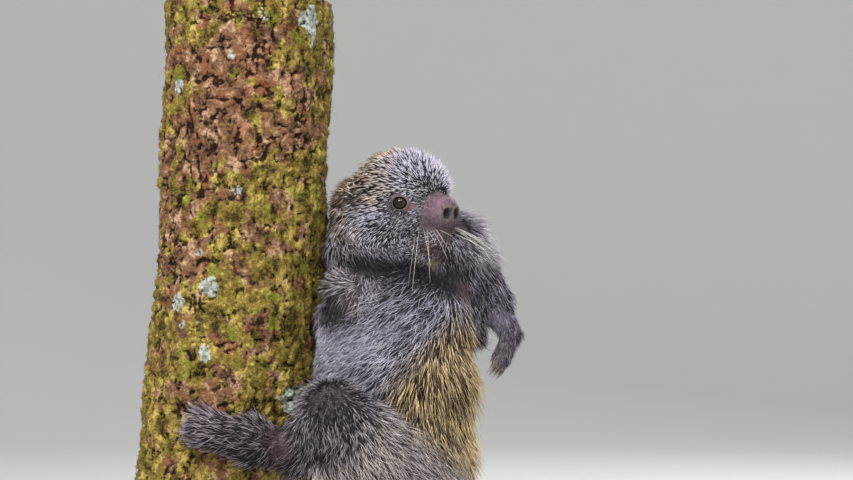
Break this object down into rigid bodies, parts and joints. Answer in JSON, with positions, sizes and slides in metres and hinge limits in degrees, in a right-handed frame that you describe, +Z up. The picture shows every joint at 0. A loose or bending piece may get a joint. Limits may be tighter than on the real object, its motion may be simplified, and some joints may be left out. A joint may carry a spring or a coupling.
{
  "type": "hairy dwarf porcupine on a trunk, life-size museum model",
  "caption": "Still life-size model of a prehensile-tailed dwarf porcupine clinging to a mossy trunk, looking back over its side, on a flat display base.",
  "frame": {"origin": "centre of the display base's underside, which rests on the floor", "axes": "+Z up; -Y is the side that the picture shows, with the animal's left flank and its face; +X is the side of the trunk that the animal holds"},
  "size_m": [0.3269, 0.25, 0.6036],
  "materials": {
    "coat_head": "short speckled quills",
    "coat_grey": "bristly grey hair",
    "coat_quills": "pale yellow quills with dark bands",
    "coat_dark": "short dark hair",
    "nose_skin": "bare skin, fine fuzz",
    "bare_skin": "bare skin",
    "eye": "wet gloss",
    "bark": "rough bark with moss",
    "stand_wood": "black satin",
    "stand_steel": "satin"
  },
  "bodies": {
    "root": {"stand_base": "stand_wood", "stand_rod_left": "stand_steel", "stand_rod_right": "stand_steel", "perch_trunk": "bark", "head": "coat_head", "eye_left": "eye", "eye_right": "eye", "ear_left": "bare_skin", "ear_right": "bare_skin", "muzzle": "nose_skin", "jaw": "coat_grey", "torso_rump": "coat_quills", "torso_belly": "coat_quills", "torso_chest": "coat_grey", "neck": "coat_grey", "tail_base": "coat_quills", "tail_middle": "coat_dark", "tail_lower": "coat_dark", "tail_tip": "bare_skin", "upper_arm_left": "coat_dark", "forearm_left": "coat_dark", "hand_left": "coat_dark", "shin_left": "coat_dark", "foot_left": "coat_dark", "thigh_left": "coat_quills", "upper_arm_right": "coat_dark", "forearm_right": "coat_dark", "hand_right": "coat_dark", "shin_right": "coat_dark", "foot_right": "coat_dark", "thigh_right": "coat_quills"}
  },
  "joints": []
}
